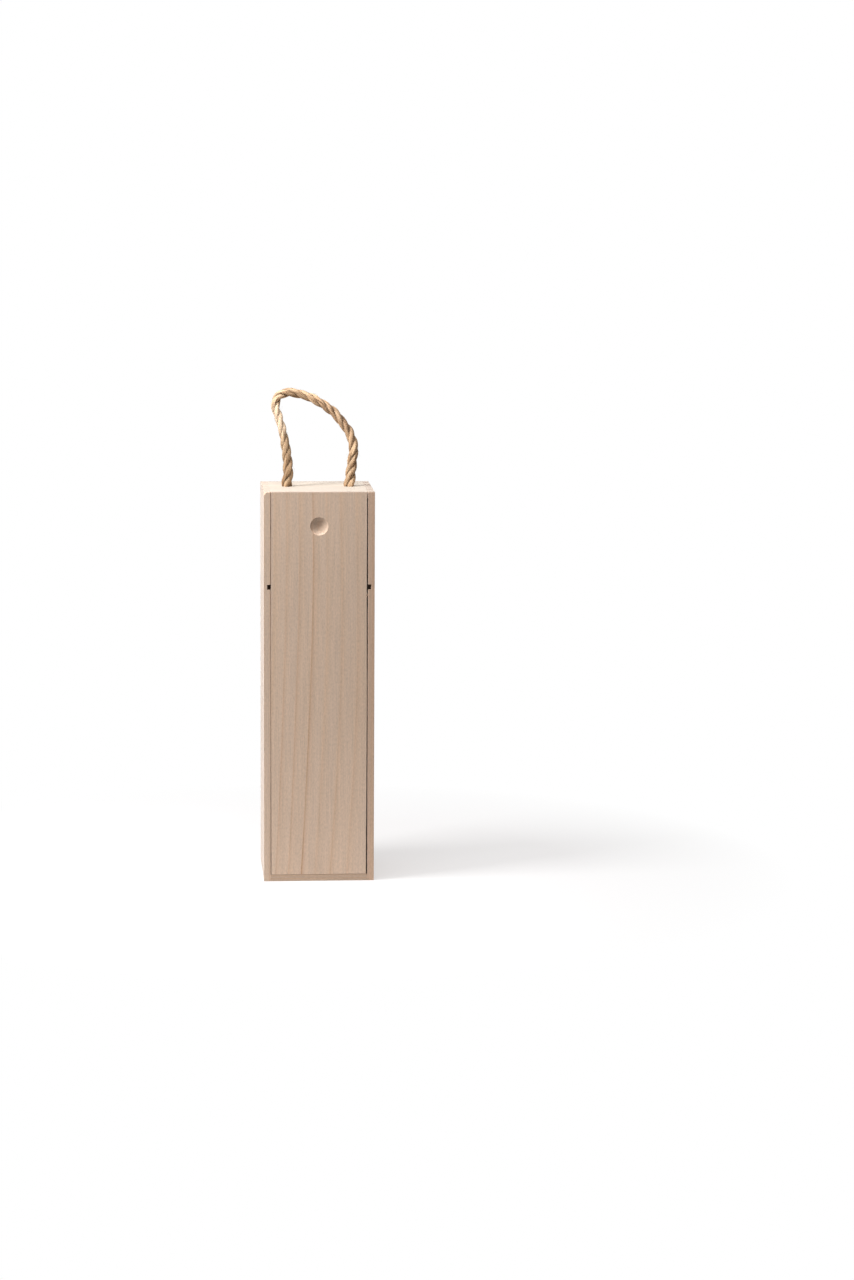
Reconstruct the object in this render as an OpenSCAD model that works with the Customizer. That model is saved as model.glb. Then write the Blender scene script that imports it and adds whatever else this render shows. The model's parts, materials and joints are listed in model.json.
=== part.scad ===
// Upright box for one wine bottle, in thin pale wood with a rope handle.
// The top and bottom boards are finger-jointed into the two side boards,
// and a thin back board is glued over that frame.
// The front is a loose lid: a tongue on its lower end stands in a groove,
// and two pegs in its edges sit in L-shaped slots in the side boards.
// It slides up until the pegs meet the notches, then comes off forwards.
// Origin: centre of the base. The lid faces -Y and +Z is up. Millimetres.

/* [Case] */
// Width of the box, outside
box_w = 100; // [94:1:130]
// Depth of the box, outside, from the lid's face to the back
box_d = 100; // [90:1:130]
// Height of the box without its rope
box_h = 356; // [330:1:400]
// Thickness of the two side boards
side_t = 6; // [5:0.5:9]
// Thickness of the top and bottom boards
end_t = 6; // [5:0.5:9]
// Thickness of the back board
back_t = 3.2; // [2:0.2:6]
// How far wear has rounded off the left board's upper front corner
worn_cut = 3; // [1:0.2:3]

/* [Finger joints] */
// Width of one finger
finger_w = 8.2; // [6:0.2:10]
// Distance from one finger to the next
finger_pitch = 17.2; // [14:0.2:24]
// Gap at the inner end of a finger, where the slot is sawn deeper
finger_end_gap = 0.4; // [0:0.1:1]

/* [Lid] */
// Thickness of the lid
lid_t = 6.8; // [6:0.2:9]
// Gap between the lid and each side board
lid_side_gap = 0.7; // [0.4:0.1:2]
// How far the loose lid rests to the left of the middle
lid_offset = 0.2; // [0:0.05:0.3]
// Gap between the lid and the top board behind it
lid_back_gap = 0.7; // [0.3:0.1:2]
// Gap under the lid's shoulders
lid_seat_gap = 0.2; // [0.1:0.1:0.6]
// How far the lid slides up before it comes off
lid_travel = 8; // [6:0.5:12]
// Length of the tongue on the lid's lower end
tongue_len = 3; // [2:0.1:4]
// Thickness of the tongue
tongue_t = 2.6; // [2:0.1:3.4]
// Clearance round the tongue in its groove
tongue_clear = 0.3; // [0.2:0.1:0.5]

/* [Thumb dish] */
// Diameter of the dish at the lid's face
dish_d = 16.5; // [12:0.5:24]
// Depth of the dish
dish_depth = 3.6; // [2:0.1:4]
// Distance from the box's top down to the dish's centre
dish_drop = 30.8; // [20:0.2:60]

/* [Pegs and slots] */
// Diameter of the two pegs in the lid's edges
peg_d = 3; // [2:0.2:3.4]
// Distance from the lid's face back to a peg's axis
peg_setback = 3.8; // [3:0.1:4]
// How far a peg reaches into its slot
peg_reach = 2.4; // [1.5:0.1:3]
// How deep a peg is glued into the lid
peg_seat = 9; // [6:0.5:14]
// Clearance round a peg in its slot
peg_clear = 0.3; // [0.2:0.1:0.5]
// Clearance above and below a peg in its notch
notch_clear = 0.7; // [0.4:0.1:1]
// Clearance past the end of a peg
peg_end_gap = 0.6; // [0.3:0.1:1]
// Thickness of the glue round a peg
peg_glue = 0.05; // [0.02:0.01:0.1]
// Distance from the box's top down to the top of a notch
notch_drop = 83.8; // [60:0.2:120]

/* [Rope handle] */
// Diameter of the rope
rope_d = 7.5; // [5:0.5:8]
// Clearance round the rope in its holes
rope_clear = 0.5; // [0.3:0.1:1]
// Distance between the two rope holes
hole_spacing = 57; // [50:1:60]
// How far the pair of holes lies off the middle, towards the right
hole_shift = 1.3; // [-2:0.1:2]
// Distance from the box's front back to the rope holes
hole_setback = 54; // [40:1:60]
// Diameter of the stopper knots under the top board
knot_d = 21; // [17:0.5:22]
// Height of a stopper knot
knot_h = 16; // [12:0.5:18]
// Radius of a knot's round edges
knot_round = 4; // [2:0.5:4]
// Length of the rope's end below a knot
tail_len = 8; // [4:1:12]

/* [Hidden] */
$fn = 96;

// Cuts run this far past the faces that they open
over = 1;

// Case
front_y = -box_d / 2;
frame_back_y = box_d / 2 - back_t;
inner_w = box_w - 2 * side_t;
top_z = box_h - end_t;

// Worn corner: a ball that meets each of the three edges at worn_cut from the corner
worn_reach = worn_cut * 5 / 3;
worn_r = sqrt(pow(worn_reach - worn_cut, 2) + 2 * worn_reach * worn_reach);

// Finger joints, which start behind the lid
joint_y = front_y + lid_t + lid_back_gap;
finger_count = ceil((frame_back_y - joint_y) / finger_pitch);
function finger_y(i) = joint_y + i * finger_pitch;
function finger_end(i) = min(finger_y(i) + finger_w, frame_back_y);

// Lid
lid_w = inner_w - 2 * lid_side_gap;
lid_z = end_t + lid_seat_gap;
tongue_y = front_y + (lid_t - tongue_t) / 2;
groove_depth = tongue_len - lid_seat_gap + tongue_clear;
dish_r = (dish_d * dish_d / 4 + dish_depth * dish_depth) / (2 * dish_depth);

// Pegs and slots
peg_y = front_y + peg_setback;
peg_len = peg_seat + lid_side_gap + peg_reach;
slot_w = peg_d + 2 * peg_clear;
slot_depth = peg_reach + peg_end_gap;
notch_h = peg_d + 2 * notch_clear;
notch_top_z = box_h - notch_drop;
peg_z = notch_top_z - notch_h / 2 - lid_travel;

// Rope handle
hole_d = rope_d + 2 * rope_clear;
hole_y = front_y + hole_setback;
hole_left_x = hole_shift - hole_spacing / 2;
hole_right_x = hole_shift + hole_spacing / 2;
rope_sides = 10;

// The rope's way over the box: across, back from the front and above the top
LOOP = [
    [-26, 57, 14], [-27, 61, 29], [-30, 66, 48], [-34, 71, 62], [-37, 75, 74],
    [-34, 77, 82], [-25, 78, 85], [-12, 78, 83], [2, 76, 77], [14, 73, 69],
    [24, 70, 58], [31, 66, 47], [34, 62, 36], [33, 59, 24], [31, 56, 11]
];
rope_route = concat(
    [[hole_left_x, hole_y, top_z], [hole_left_x, hole_y, box_h]],
    [for (p = LOOP) [p[0], front_y + p[1], box_h + p[2]]],
    [[hole_right_x, hole_y, box_h], [hole_right_x, hole_y, top_z]]
);

function unit(v) = v / norm(v);
function route_way(p, i) = unit(p[min(i + 1, len(p) - 1)] - p[max(i - 1, 0)]);
function route_ring(p, i, r, sides) =
    let (way = route_way(p, i), side = unit(cross(way, [0, 1, 0])), up = cross(side, way))
    [for (j = [0:sides - 1]) p[i] + r * (cos(360 * j / sides) * side + sin(360 * j / sides) * up)];

// A round tube along a route, closed at both ends
module swept_tube(route, r, sides) {
    rings = len(route);
    points = [for (i = [0:rings - 1]) each route_ring(route, i, r, sides)];
    first_cap = [[for (j = [0:sides - 1]) j]];
    last_cap = [[for (j = [0:sides - 1]) rings * sides - 1 - j]];
    wall = [
        for (i = [0:rings - 2]) for (j = [0:sides - 1])
            let (a = i * sides + j, b = i * sides + (j + 1) % sides)
            each [[a, a + sides, b], [b, a + sides, b + sides]]
    ];
    polyhedron(points = points, faces = concat(first_cap, wall, last_cap), convexity = 8);
}

// The fingers of an end board, each as one bar from side to side of the box
module finger_bars(z, height, reach = 0) {
    for (i = [0:finger_count - 1])
        translate([-box_w / 2 - reach, finger_y(i), z])
            cube([box_w + 2 * reach, finger_end(i) - finger_y(i), height]);
}

// The L-shaped slot in the left board: open at the front, then down to the peg's rest
module peg_slot() {
    translate([-inner_w / 2 - slot_depth, peg_y - slot_w / 2, peg_z])
        cube([slot_depth + over, slot_w, notch_top_z - peg_z]);
    translate([-inner_w / 2 - slot_depth, peg_y, peg_z])
        rotate([0, 90, 0])
            cylinder(d = slot_w, h = slot_depth + over);
    translate([-inner_w / 2 - slot_depth, front_y - over, notch_top_z - notch_h])
        cube([slot_depth + over, peg_setback + over, notch_h]);
}

module left_board() {
    difference() {
        translate([-box_w / 2, front_y, 0])
            cube([side_t, frame_back_y - front_y, box_h]);
        finger_bars(-over, end_t + finger_end_gap + over, over);
        finger_bars(top_z - finger_end_gap, end_t + finger_end_gap + over, over);
        peg_slot();
    }
}

// What wear has taken off the left board's upper front corner
module worn_off() {
    translate([-box_w / 2, front_y, box_h])
        difference() {
            translate([-over, -over, -worn_reach])
                cube([worn_reach + over, worn_reach + over, worn_reach + over]);
            translate([worn_reach, worn_reach, -worn_reach])
                sphere(r = worn_r);
        }
}

module side_left() {
    color("burlywood")
        difference() {
            left_board();
            worn_off();
        }
}

module side_right() {
    color("burlywood") mirror([1, 0, 0]) left_board();
}

module top_panel() {
    color("bisque")
        difference() {
            union() {
                translate([-inner_w / 2, joint_y, top_z])
                    cube([inner_w, frame_back_y - joint_y, end_t]);
                finger_bars(top_z, end_t);
            }
            for (x = [hole_left_x, hole_right_x])
                translate([x, hole_y, top_z - over])
                    cylinder(d = hole_d, h = end_t + 2 * over);
        }
}

module bottom_panel() {
    color("bisque")
        difference() {
            union() {
                translate([-inner_w / 2, front_y, 0])
                    cube([inner_w, frame_back_y - front_y, end_t]);
                finger_bars(0, end_t);
            }
            translate([-inner_w / 2 - over, tongue_y - tongue_clear, end_t - groove_depth])
                cube([inner_w + 2 * over, tongue_t + 2 * tongue_clear, groove_depth + over]);
        }
}

module back_panel() {
    color("wheat")
        translate([-box_w / 2, frame_back_y, 0])
            cube([box_w, back_t, box_h]);
}

// The lid's board, with its tongue, its dish and the two peg holes
module lid_board() {
    difference() {
        union() {
            translate([-lid_w / 2, front_y, lid_z])
                cube([lid_w, lid_t, box_h - lid_z]);
            translate([-lid_w / 2, tongue_y, lid_z - tongue_len])
                cube([lid_w, tongue_t, tongue_len + over]);
        }
        translate([0, front_y + dish_depth - dish_r, box_h - dish_drop])
            sphere(r = dish_r);
        for (hand = [0, 1])
            mirror([hand, 0, 0])
                right_peg(peg_glue, over);
    }
}

// The peg in the right edge, or its hole when it is made wider and longer
module right_peg(wider = 0, longer = 0) {
    translate([lid_w / 2 - peg_seat, peg_y, peg_z])
        rotate([0, 90, 0])
            cylinder(d = peg_d + 2 * wider, h = peg_len + longer);
}

module lid() {
    color("tan") translate([-lid_offset, 0, 0]) lid_board();
}

module lid_peg_left() {
    color("peru") translate([-lid_offset, 0, 0]) mirror([1, 0, 0]) right_peg();
}

module lid_peg_right() {
    color("peru") translate([-lid_offset, 0, 0]) right_peg();
}

module rope_handle() {
    color("goldenrod") swept_tube(rope_route, rope_d / 2, rope_sides);
}

// A stopper knot drawn up against the top board, with the rope's end below it
module stopper_knot(x) {
    translate([x, hole_y, top_z - knot_h])
        rotate_extrude() {
            translate([0, knot_round])
                square([knot_d / 2, knot_h - 2 * knot_round]);
            square([knot_d / 2 - knot_round, knot_h]);
            for (z = [knot_round, knot_h - knot_round])
                translate([knot_d / 2 - knot_round, z])
                    circle(r = knot_round);
        }
    translate([x, hole_y, top_z - knot_h - tail_len])
        cylinder(d = rope_d, h = tail_len + over);
}

module rope_knot_left() {
    color("darkgoldenrod") stopper_knot(hole_left_x);
}

module rope_knot_right() {
    color("darkgoldenrod") stopper_knot(hole_right_x);
}

side_left();
side_right();
top_panel();
bottom_panel();
back_panel();
lid();
lid_peg_left();
lid_peg_right();
rope_handle();
rope_knot_left();
rope_knot_right();
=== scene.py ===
"""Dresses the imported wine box: raw pale boards, a loose lid and a laid rope handle.

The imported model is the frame. Every board keeps its place and size and gets sanded
edges and a solid wood finish, and the rope is laid from three strands along its route.
"""

from __future__ import annotations

import json
import logging
import math
from collections.abc import Callable
from dataclasses import dataclass
from enum import Enum

import bmesh
import bpy
import numpy as np
from mathutils import Matrix, Vector, noise

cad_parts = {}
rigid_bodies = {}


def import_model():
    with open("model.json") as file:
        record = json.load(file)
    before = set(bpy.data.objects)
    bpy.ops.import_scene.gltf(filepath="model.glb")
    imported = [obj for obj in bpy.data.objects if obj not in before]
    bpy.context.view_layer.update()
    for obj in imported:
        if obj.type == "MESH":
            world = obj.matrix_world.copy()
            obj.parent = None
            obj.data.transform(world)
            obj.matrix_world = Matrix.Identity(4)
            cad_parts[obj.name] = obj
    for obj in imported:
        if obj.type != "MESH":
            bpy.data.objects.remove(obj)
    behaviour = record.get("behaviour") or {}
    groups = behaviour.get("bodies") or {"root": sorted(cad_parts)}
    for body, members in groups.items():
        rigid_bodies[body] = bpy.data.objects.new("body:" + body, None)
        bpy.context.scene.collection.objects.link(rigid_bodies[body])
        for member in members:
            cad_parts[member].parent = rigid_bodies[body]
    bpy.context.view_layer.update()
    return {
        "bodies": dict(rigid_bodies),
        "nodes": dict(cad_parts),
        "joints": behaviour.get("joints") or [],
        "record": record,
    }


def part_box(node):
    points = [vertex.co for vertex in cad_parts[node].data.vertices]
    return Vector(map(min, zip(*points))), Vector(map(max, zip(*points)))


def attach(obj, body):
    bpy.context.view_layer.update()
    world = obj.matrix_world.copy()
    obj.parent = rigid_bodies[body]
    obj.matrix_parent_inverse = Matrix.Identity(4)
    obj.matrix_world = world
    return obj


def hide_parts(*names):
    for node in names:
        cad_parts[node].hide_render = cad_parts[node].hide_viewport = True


LOG = logging.getLogger("wine_box")
MM = 0.001
WHITE = (1.0, 1.0, 1.0)

# Mesh attributes that the finishes read
END_GRAIN = "end_grain"
# Marks the slot's deep faces, which the finish darkens as painted shade
SLOT_SHADE = "slot_shade"
# Marks the gap walls, which the finish warms as painted bounced light
GAP_BOUNCE = "sawn"
STRAND_PLACE = "strand_place"
CROWN = "crown"

# Kinds of value: a Ramp maps its first two numbers to its last two
Colour = tuple[float, float, float]
Point = tuple[float, float, float]
Span = tuple[float, float]
Ramp = tuple[float, float, float, float]
Table = tuple[Span, ...]
Socket = bpy.types.NodeSocket


class Grain(Enum):
    """The way a board's grain runs, as the turn that lays it along the pattern's Z."""

    UP = (0.0, 0.0, 0.0)
    ACROSS = (0.0, -math.pi / 2, 0.0)

    @property
    def axis(self) -> Vector:
        """The grain's direction in the box's own axes."""
        return Vector((0, 0, 1)) if self is Grain.UP else Vector((1, 0, 0))


@dataclass(frozen=True)
class Unevenness:
    """A fixed wander along a line: its features in a metre, and the row and layer it reads."""

    pitch: float
    row: float
    layer: float

    def at(self, along: float, number: float = 1.0) -> float:
        """Its value, between about -1 and 1, at a distance along a numbered line."""
        return noise.noise((along * self.pitch, number * self.row, self.layer))


class NodeBench:
    """Places and joins the nodes of one shader tree."""

    def __init__(self, tree: bpy.types.NodeTree) -> None:
        """Starts on the tree that the nodes go into."""
        self.tree = tree

    def feed(self, socket: Socket, value: object) -> None:
        """Joins a socket to another, or sets its value.

        Args:
            socket: The input.
            value: A socket, a number, a vector, or the three parts of a solid colour.
        """
        if isinstance(value, Socket):
            self.tree.links.new(value, socket)
        elif socket.type == "RGBA":
            socket.default_value = (*value, 1.0)
        else:
            socket.default_value = value

    def feed_all(self, node: bpy.types.Node, values: dict) -> None:
        """Feeds several inputs of a node, by name or number."""
        for name, value in values.items():
            self.feed(node.inputs[name], value)

    def add(self, kind: str, inputs: dict | None = None, **settings: object) -> bpy.types.Node:
        """Adds one node.

        Args:
            kind: The node's type, without its ShaderNode prefix.
            inputs: Values or sockets for its inputs, by name or number.
            settings: The node's own settings.

        Returns:
            The node.
        """
        prefix = "" if kind.startswith("NodeGroup") else "ShaderNode"
        node = self.tree.nodes.new(prefix + kind)
        for name, value in settings.items():
            setattr(node, name, value)
        self.feed_all(node, inputs or {})
        return node

    def maths(self, operation: str, *values: object) -> Socket:
        """Adds a Math node that works on numbers or sockets."""
        return self.add("Math", dict(enumerate(values)), operation=operation).outputs[0]

    def plus(self, first: object, second: object) -> Socket:
        """Adds two values."""
        return self.maths("ADD", first, second)

    def times(self, first: object, second: object) -> Socket:
        """Multiplies two values."""
        return self.maths("MULTIPLY", first, second)

    def noise(self, place: Socket, factors: Point, detail: float) -> Socket:
        """Adds a noise texture.

        Args:
            place: Where the noise is read.
            factors: Features in each metre, for each axis.
            detail: How many finer layers it has.

        Returns:
            Its value, from 0 to 1 with a mean of a half.
        """
        stretched = self.add("VectorMath", {0: place, 1: factors}, operation="MULTIPLY")
        inputs = {"Vector": stretched.outputs[0], "Scale": 1.0, "Detail": detail}
        return self.add("TexNoise", inputs).outputs["Fac"]

    def between(self, value: Socket, low: float, high: float, start: object, end: object) -> Socket:
        """Maps a value from low..high to start..end, held at both ends."""
        return self.add("MapRange", {0: value, 1: low, 2: high, 3: start, 4: end}).outputs[0]

    def mix(self, share: object, first: object, second: object, blend: str = "MIX") -> Socket:
        """Mixes two colours by the second one's share, in a named way."""
        inputs = {"Factor": share, "A": first, "B": second}
        return self.add("Mix", inputs, data_type="RGBA", blend_type=blend).outputs["Result"]

    def tinted(self, colour: Socket, tint: Socket) -> Socket:
        """Multiplies a colour by a tint."""
        return self.mix(1.0, colour, tint, "MULTIPLY")

    def grey(self, value: Socket) -> Socket:
        """Makes a grey as bright as a value."""
        return self.add("CombineColor", {0: value, 1: value, 2: value}).outputs[0]

    def emboss(self, shader: bpy.types.Node, height: Socket, strength: float, depth: float) -> None:
        """Raises a shader's surface by a pattern of heights."""
        bump = self.add("Bump", {"Height": height, "Strength": strength, "Distance": depth})
        self.feed(shader.inputs["Normal"], bump.outputs[0])

    def seen(self) -> Socket:
        """Tells rays that are seen, straight or in a gloss, from bounced light."""
        path = self.add("LightPath").outputs
        return self.maths("MAXIMUM", path["Is Camera Ray"], path["Is Glossy Ray"])


class GroupBench(NodeBench):
    """Places and joins the nodes of a shader node group."""

    def __init__(self, name: str, inputs: dict[str, str]) -> None:
        """Starts a node group.

        Args:
            name: The group's name.
            inputs: The kind of each input, by name.
        """
        super().__init__(bpy.data.node_groups.new(name, "ShaderNodeTree"))
        for socket, kind in inputs.items():
            self.tree.interface.new_socket(
                name=socket, in_out="INPUT", socket_type=f"NodeSocket{kind}"
            )
        self.given = self.add("NodeGroupInput").outputs

    def put_out(self, results: dict[str, Socket]) -> bpy.types.NodeTree:
        """Gives the group its outputs.

        Args:
            results: The outputs by name, all plain values.

        Returns:
            The finished node group.
        """
        for socket in results:
            self.tree.interface.new_socket(
                name=socket, in_out="OUTPUT", socket_type="NodeSocketFloat"
            )
        self.feed_all(self.add("NodeGroupOutput"), results)
        return self.tree


@dataclass(frozen=True)
class TreeRings:
    """The solid pattern of one log, which every board shares.

    A grain gives a pattern's features in each metre, two ways across the log and along it.
    """

    wander: float = 5.0 * MM
    wander_grain: Point = (9.0, 9.0, 2.2)
    late_power: float = 8.0
    late_years: Span = (0.10, 1.0)
    late_patches: Ramp = (0.35, 0.62, 0.35, 1.0)
    late_grain: Point = (60.0, 60.0, 5.0)
    season_power: float = 2.2
    spring_share: float = 0.16
    spring_tone: float = 0.7
    bands_across: float = 1.3
    bands_along: float = 4.0
    fibre_grain: Point = (900.0, 900.0, 22.0)
    speckle_grain: Point = (800.0, 800.0, 380.0)
    tone_grain: Point = (28.0, 28.0, 4.0)
    pore_grain: Point = (1500.0, 1500.0, 130.0)
    pore_cut: Ramp = (0.60, 0.72, 0.0, 1.0)
    pore_season: Ramp = (0.0, 0.6, 1.0, 0.25)

    def group(self) -> bpy.types.NodeTree:
        """Makes the pattern.

        Its place has the grain along Z and the tree's middle at the origin of X and Y.

        Returns:
            The node group.
        """
        kinds = {"Place": "Vector", "Ring Width": "Float", "Sweep": "Float", "First Year": "Float"}
        bench = GroupBench("tree_rings", kinds)
        place = bench.given["Place"]
        parts = bench.add("SeparateXYZ", {0: place}).outputs
        along, depth = parts["Z"], parts["Y"]
        bend = bench.times(bench.times(along, along), bench.given["Sweep"])
        across = bench.plus(parts["X"], bend)
        squares = bench.plus(bench.times(across, across), bench.times(depth, depth))
        wander = bench.maths("SUBTRACT", bench.noise(place, self.wander_grain, 1.0), 0.5)
        radius = bench.plus(bench.maths("SQRT", squares), bench.times(wander, self.wander))
        ring = bench.maths("DIVIDE", radius, bench.given["Ring Width"])
        share = bench.maths("FRACT", ring)

        year = bench.plus(bench.maths("FLOOR", ring), bench.given["First Year"])
        chance = bench.add("TexWhiteNoise", {"W": year}, noise_dimensions="1D").outputs["Value"]
        strength = bench.between(chance, 0.0, 1.0, *self.late_years)
        late = bench.times(bench.maths("POWER", share, self.late_power), strength)
        patches = bench.between(bench.noise(place, self.late_grain, 2.0), *self.late_patches)

        spring = bench.between(share, 0.0, self.spring_share, 1.0, 0.0)
        summer = bench.maths("POWER", share, self.season_power)
        band_place = bench.add(
            "CombineXYZ",
            {0: bench.times(ring, self.bands_across), 2: bench.times(along, self.bands_along)},
        ).outputs[0]
        vessels = bench.between(bench.noise(place, self.pore_grain, 1.0), *self.pore_cut)
        return bench.put_out(
            {
                "Late": bench.times(late, patches),
                "Season": bench.maths("MAXIMUM", summer, bench.times(spring, self.spring_tone)),
                "Bands": bench.noise(band_place, (1.0, 1.0, 1.0), 3.0),
                "Fibre": bench.noise(place, self.fibre_grain, 3.0),
                "Pores": bench.times(vessels, bench.between(share, *self.pore_season)),
                "Tone": bench.noise(place, self.tone_grain, 2.0),
                "Speckle": bench.noise(place, self.speckle_grain, 2.0),
            }
        )


@dataclass(frozen=True)
class Cut:
    """How one board was sawn from the tree: its grain, the tree's middle and its tint."""

    grain: Grain = Grain.UP
    middle: Point = (0.125, 0.235, 0.0)
    ring_width: float = 4.8 * MM
    sweep: float = 0.0
    first_year: float = 0.0
    tint: Colour = WHITE
    end_tint: Colour = (0.76, 0.74, 0.73)
    line_strength: float = 0.75
    top_share: float = 1.0


@dataclass(frozen=True)
class PaleWood:
    """The raw finish of boards that were sawn from one pale, ring-porous tree."""

    early: Colour = (0.690, 0.506, 0.372)
    late: Colour = (0.450, 0.222, 0.118)
    warm: Colour = (1.014, 0.986, 0.950)
    cool: Colour = (0.992, 1.003, 1.036)
    pore: Colour = (0.45, 0.30, 0.20)
    pore_share: float = 0.22
    # Painted shade: darkens the slot's deep faces the way the unlit slot looks
    slot_shade_tint: Colour = (0.17, 0.13, 0.10)
    # Painted bounced light: warms the gap walls the way light bounced between the boards does
    gap_bounce_tint: Colour = (1.04, 0.95, 0.88)
    fade_height: float = 0.35
    band_warmth: Ramp = (0.30, 0.70, -0.35, 0.35)
    fibre_tone: Ramp = (0.25, 0.75, 0.92, 1.08)
    patch_tone: Ramp = (0.25, 0.75, -0.03, 0.03)
    speckle_tone: Ramp = (0.25, 0.75, -0.10, 0.10)
    roughness: float = 0.62
    fibre_roughness: Ramp = (0.2, 0.8, -0.06, 0.06)
    gloss: float = 0.4
    sheen: float = 0.45
    sheen_roughness: float = 0.5
    late_relief: float = 0.25
    pore_relief: float = 0.5
    bump: float = 0.35
    bump_depth: float = 0.25 * MM

    def colour(
        self, bench: NodeBench, rings: bpy.types.bpy_prop_collection, height: Socket, cut: Cut
    ) -> Socket:
        """Colours the wood by its rings, fibres and pores; tints end grain, paints shade in the
        slot and bounced light in the gap.

        Args:
            bench: The bench on the board's material.
            rings: The wood pattern's outputs.
            height: The height on the box.
            cut: How the board was sawn.

        Returns:
            The colour.
        """
        strength = cut.line_strength
        faded = bench.between(height, 0.0, self.fade_height, strength, strength * cut.top_share)
        colour = bench.mix(bench.times(rings["Late"], faded), self.early, self.late)
        drift = bench.between(rings["Bands"], *self.band_warmth)
        warmth = bench.between(bench.plus(rings["Season"], drift), 0.0, 1.0, 0.0, 1.0)
        colour = bench.tinted(colour, bench.mix(warmth, self.cool, self.warm))
        patches = bench.between(rings["Tone"], *self.patch_tone)
        speckles = bench.between(rings["Speckle"], *self.speckle_tone)
        fibres = bench.between(rings["Fibre"], *self.fibre_tone)
        light_and_dark = bench.plus(fibres, bench.plus(patches, speckles))
        colour = bench.tinted(colour, bench.grey(light_and_dark))
        colour = bench.mix(bench.times(rings["Pores"], self.pore_share), colour, self.pore)
        tint = cut.tint
        # The slot's deep faces get painted shade, and the gap walls get a warmer painted bounced
        # light
        masks = {END_GRAIN: cut.end_tint, SLOT_SHADE: self.slot_shade_tint, GAP_BOUNCE: self.gap_bounce_tint}
        for mask, other in masks.items():
            here = bench.add("Attribute", attribute_name=mask)
            tint = bench.mix(here.outputs["Fac"], tint, other)
        return bench.tinted(colour, tint)

    def material(self, name: str, cut: Cut, pattern: bpy.types.NodeTree) -> bpy.types.Material:
        """Makes the finish of one board.

        Args:
            name: The material's name.
            cut: How this board was sawn.
            pattern: The shared wood pattern.

        Returns:
            The material.
        """
        material = bpy.data.materials.new(name)
        material.use_nodes = True
        bench = NodeBench(material.node_tree)
        place = bench.add("TexCoord").outputs["Object"]
        log_place = bench.add(
            "Mapping",
            {
                "Vector": place,
                "Rotation": cut.grain.value,
                "Location": tuple(-c for c in cut.middle),
            },
            vector_type="POINT",
        ).outputs[0]
        rings = bench.add(
            "Group",
            {
                "Place": log_place,
                "Ring Width": cut.ring_width,
                "Sweep": cut.sweep,
                "First Year": cut.first_year,
            },
            node_tree=pattern,
        ).outputs
        height = bench.add("SeparateXYZ", {0: place}).outputs["Z"]
        rough_fibres = bench.between(rings["Fibre"], *self.fibre_roughness)
        shader = material.node_tree.nodes["Principled BSDF"]
        bench.feed_all(
            shader,
            {
                "Base Color": self.colour(bench, rings, height, cut),
                "Roughness": bench.plus(rough_fibres, self.roughness),
                "Specular IOR Level": self.gloss,
                "Sheen Weight": self.sheen,
                "Sheen Roughness": self.sheen_roughness,
            },
        )
        raised = bench.plus(rings["Fibre"], bench.times(rings["Late"], self.late_relief))
        sunk = bench.times(rings["Pores"], self.pore_relief)
        relief = bench.maths("SUBTRACT", raised, sunk)
        bench.emboss(shader, relief, self.bump, self.bump_depth)
        return material


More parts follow.
